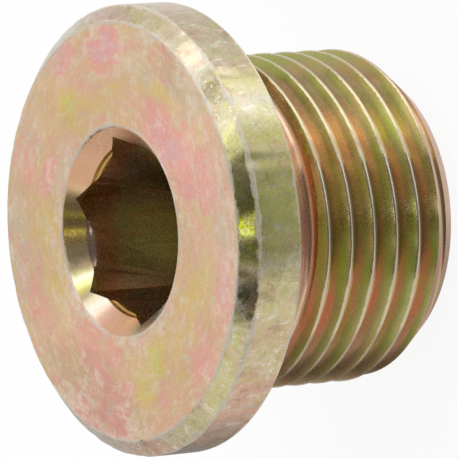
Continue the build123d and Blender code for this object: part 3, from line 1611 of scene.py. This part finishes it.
@dataclass
class Studio:
    """A pale light table in a white tent, with a long softbox over the plug's side.

    Directions are given by how far they go to the right, up and to the front of the tent,
    whose top lies towards the plug's side.
    """

    side: Triple = (-0.1476, -0.5432, -0.8265)
    overhead: Triple = (0.9835, -0.1689, -0.0646)
    front: Triple = (-0.1045, -0.8224, 0.5592)
    tent_level: float = 0.95
    softbox_level: float = 1.75
    opening_level: float = 0.13
    opening_rim_level: float = 0.45
    shade_level: float = 0.36
    stand_level: float = 0.04
    # planes, each by its slope to the side, up and to the front:
    opening_foot: tuple[Triple, ...] = ((-0.07, 1.0, 0.93), (0.25, 1.0, 1.08))
    softbox_foot: tuple[Triple, ...] = ((-0.15, -1.0, 0.265), (0.33, -1.0, 0.66))
    softbox_top: Triple = (-0.8, 1.0, -1.21)
    softbox_sides: tuple[Triple, ...] = ((0.183, 0.066, 1.0), (1.0, 3.3, 0.0))
    # where a darker corner starts and is whole, to the front, up and to the side:
    shade_corner: tuple[Span, ...] = ((-0.45, -0.9), (0.06, -0.12), (-0.38, -0.05))
    stand_corner: tuple[Span, ...] = ((0.16, -0.2), (-0.3, -0.5), (-0.61, -0.7))
    facing: Span = (0.05, 0.2)  # how far to the front the opening starts and is whole
    opening_rim: Span = (0.4, 0.8)  # how far to the front it gets darker
    glints: tuple[Glint, ...] = (
        Glint(-0.43, -0.08, 0.24, 0.038, 3.5),
        Glint(-0.43, -0.315, 0.24, 0.05, 0.9),
    )
    lamp_height: float = 0.25
    lamp_lean: tuple[float, float] = (-1.15, 0.9)  # to the side and to the front of overhead
    lamp_size: tuple[float, float] = (1.05, 0.48)
    lamp_level: float = 0.85
    table_size: float = 3.0
    table_glow: float = 0.9
    table_gap: float = 0.00005  # keeps its top clear of the plug's end face
    table_white: float = 0.95

    def world(self) -> None:
        """Hang the tent: white all round, with the softbox above and a dim opening at the front."""
        world = bpy.data.worlds.new("tent")
        bpy.context.scene.world = world
        world.use_nodes = True
        w = Wiring(world.node_tree)
        way = w.node("TexCoord").outputs["Generated"]
        side, up, front = (w.dot(way, axis) for axis in (self.side, self.overhead, self.front))

        def past(plane: Triple) -> Socket:
            """How far a direction lies past a slanting plane."""
            leaning = w.sum(Op.MULTIPLY_ADD, side, plane[0], w.sum(Op.MULTIPLY, up, plane[1]))
            return w.sum(Op.MULTIPLY_ADD, front, plane[2], leaning)

        def inside(*planes: Socket) -> Socket:
            """1 where all the planes are passed, with narrow soft edges.

            Args:
                *planes: How far a direction lies past each plane.

            Returns:
                The socket with the share.
            """
            least = planes[0]
            for other in planes[1:]:
                least = w.sum(Op.LEAST, least, other)
            return w.rise(least, -0.02, 0.025)

        def corner(to_front: Span, to_top: Span, to_side: Span) -> Socket:
            """1 in one corner of the tent.

            Args:
                to_front: Where it starts and is whole, to the front.
                to_top: The same, upwards.
                to_side: The same, to the side.

            Returns:
                The socket with the share.
            """
            low = w.sum(Op.MULTIPLY, w.rise(front, *to_front), w.rise(up, *to_top))
            return w.sum(Op.MULTIPLY, low, w.rise(side, *to_side))

        over_table = w.sum(Op.LEAST, *(past(plane) for plane in self.opening_foot))
        under_softbox = w.sum(Op.GREATEST, *(past(plane) for plane in self.softbox_foot))
        facing = w.rise(front, *self.facing)
        opening = w.sum(Op.MULTIPLY, inside(over_table, under_softbox), facing)
        above_opening = w.sum(Op.MULTIPLY, under_softbox, -1.0)
        sides = (past(plane) for plane in self.softbox_sides)
        softbox = inside(past(self.softbox_top), above_opening, *sides)
        shade, stand = corner(*self.shade_corner), corner(*self.stand_corner)

        level = self.level(w, softbox, self.tent_level, self.softbox_level)
        level = self.level(w, shade, level, self.shade_level)
        level = self.level(w, stand, level, self.stand_level)
        levels = self.opening_level, self.opening_rim_level
        dim = w.rise(front, *self.opening_rim, *levels)
        level = self.level(w, opening, level, dim)
        for glint in self.glints:
            level = w.sum(Op.ADD, level, glint.light(w, side, up, front))
        level = self.level(w, w.node("LightPath").outputs["Is Camera Ray"], level, 1.0)
        shine = w.node("Background")
        shine.inputs["Color"].default_value = (1.0, 1.0, 1.0, 1.0)
        w.feed(shine.inputs["Strength"], level)
        output = w.node("OutputWorld")
        w.feed(output.inputs["Surface"], shine.outputs[0])

    @staticmethod
    def level(w: Wiring, share: Socket, under: Socket | float, over: Socket | float) -> Socket:
        """One brightness laid over another.

        Args:
            w: The wiring of the world.
            share: How much of the upper one counts.
            under: The lower brightness.
            over: The upper brightness.

        Returns:
            The socket with the blended brightness.
        """
        made = w.node("Mix", data_type="FLOAT")
        w.feed(made.inputs[0], share)
        w.feed(made.inputs[2], under)
        w.feed(made.inputs[3], over)
        return made.outputs[0]

    def lamp(self) -> bpy.types.Object:
        """Hang the softbox's lamp, which throws the plug's shadow on the table.

        Returns:
            The lamp. Its reflection in the plug is the tent's, which has the softbox's outline.
        """
        data = bpy.data.lights.new("softbox", "AREA")
        data.shape = "RECTANGLE"
        data.size, data.size_y = self.lamp_size
        data.energy = self.lamp_level * math.pi * data.size * data.size_y
        hung = bpy.data.objects.new("softbox", data)
        side, up, front = Vector(self.side), Vector(self.overhead), Vector(self.front)
        to_side, to_front = self.lamp_lean
        centre = (up + front * to_front + side * to_side) * self.lamp_height
        turn = Matrix((side, -front, up)).transposed()
        hung.matrix_world = Matrix.Translation(centre) @ turn.to_4x4()
        hung.visible_camera = False
        hung.visible_glossy = False
        bpy.context.scene.collection.objects.link(hung)
        return hung

    def table(self) -> bpy.types.Object:
        """Lay the light table's top under the plug.

        Returns:
            The top, which shows white and keeps the plug's shadow.
        """
        half = self.table_size / 2
        corners = ((-half, -half), (half, -half), (half, half), (-half, half))
        points = np.array([(x, y, -self.table_gap) for x, y in corners])
        top = Bench.solid("light_table", points, [(0, 1, 2, 3)])
        material = bpy.data.materials.new("opal_glass")
        material.use_nodes = True
        w = Wiring(material.node_tree)
        rays = w.node("LightPath").outputs
        mirrored = w.sum(Op.GREATEST, rays["Is Glossy Ray"], rays["Is Transmission Ray"])
        seen = w.sum(Op.GREATEST, rays["Is Camera Ray"], mirrored)
        opal = w.node("BsdfDiffuse")
        opal.inputs["Color"].default_value = (*(self.table_white,) * 3, 1.0)
        glow = w.node("Emission")
        glow.inputs["Color"].default_value = (1.0, 1.0, 1.0, 1.0)
        both = w.node("MixShader")
        w.feed(both.inputs[0], w.sum(Op.MULTIPLY, seen, self.table_glow))
        w.feed(both.inputs[1], opal.outputs[0])
        w.feed(both.inputs[2], glow.outputs[0])
        output = w.node("OutputMaterial")
        w.feed(output.inputs["Surface"], both.outputs[0])
        top.data.materials.append(material)
        top.visible_glossy = False
        top.visible_shadow = False
        return top


@dataclass
class Viewpoint:
    """The camera: a long lens, turned so that the plug's axis lies almost level.

    Its target and distance are in millimetres, and its angles in degrees.
    """

    target: Triple = (-0.2186, 0.5018, 8.1222)
    distance: float = 287.03  # from the target
    azimuth: float = -7.24  # from the -Y axis
    elevation: float = 33.998
    roll: float = 94.47
    lens: float = 458.91
    sensor: float = 36.0
    clip: tuple[float, float] = (0.01, 20.0)  # in metres

    def place(self) -> bpy.types.Object:
        """Set the camera up.

        Returns:
            The scene's camera.
        """
        data = bpy.data.cameras.new("camera")
        data.sensor_width = self.sensor
        data.lens = self.lens
        data.clip_start, data.clip_end = self.clip
        camera = bpy.data.objects.new("camera", data)
        bpy.context.scene.collection.objects.link(camera)
        round_z, above = math.radians(self.azimuth), math.radians(self.elevation)
        out = math.cos(above)
        back = Vector((math.sin(round_z) * out, -math.cos(round_z) * out, math.sin(above)))
        level = back.to_track_quat("Z", "Y").to_matrix().to_4x4()
        camera.matrix_world = (
            Matrix.Translation((Vector(self.target) + back * self.distance) * METRES)
            @ level
            @ Matrix.Rotation(-math.radians(self.roll), 4, "Z")
        )
        bpy.context.scene.camera = camera
        return camera


def main() -> None:
    """Build the plug, dress it, and set the studio and the camera up."""
    logging.basicConfig(level=logging.INFO, format="%(name)s: %(message)s")
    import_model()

    view = bpy.context.scene.view_settings
    view.view_transform = "Standard"

    plug = Plug()
    piece = plug.build()
    LOG.info("%s: %d faces", piece.name, len(piece.data.polygons))
    plug.dress(piece)
    LOG.info("%s: %s", piece.name, piece.data.materials[0].name)

    studio = Studio()
    studio.world()
    LOG.info("%s and %s are up", studio.lamp().name, studio.table().name)
    LOG.info("%s is set", Viewpoint().place().name)


if __name__ == "__main__":
    main()
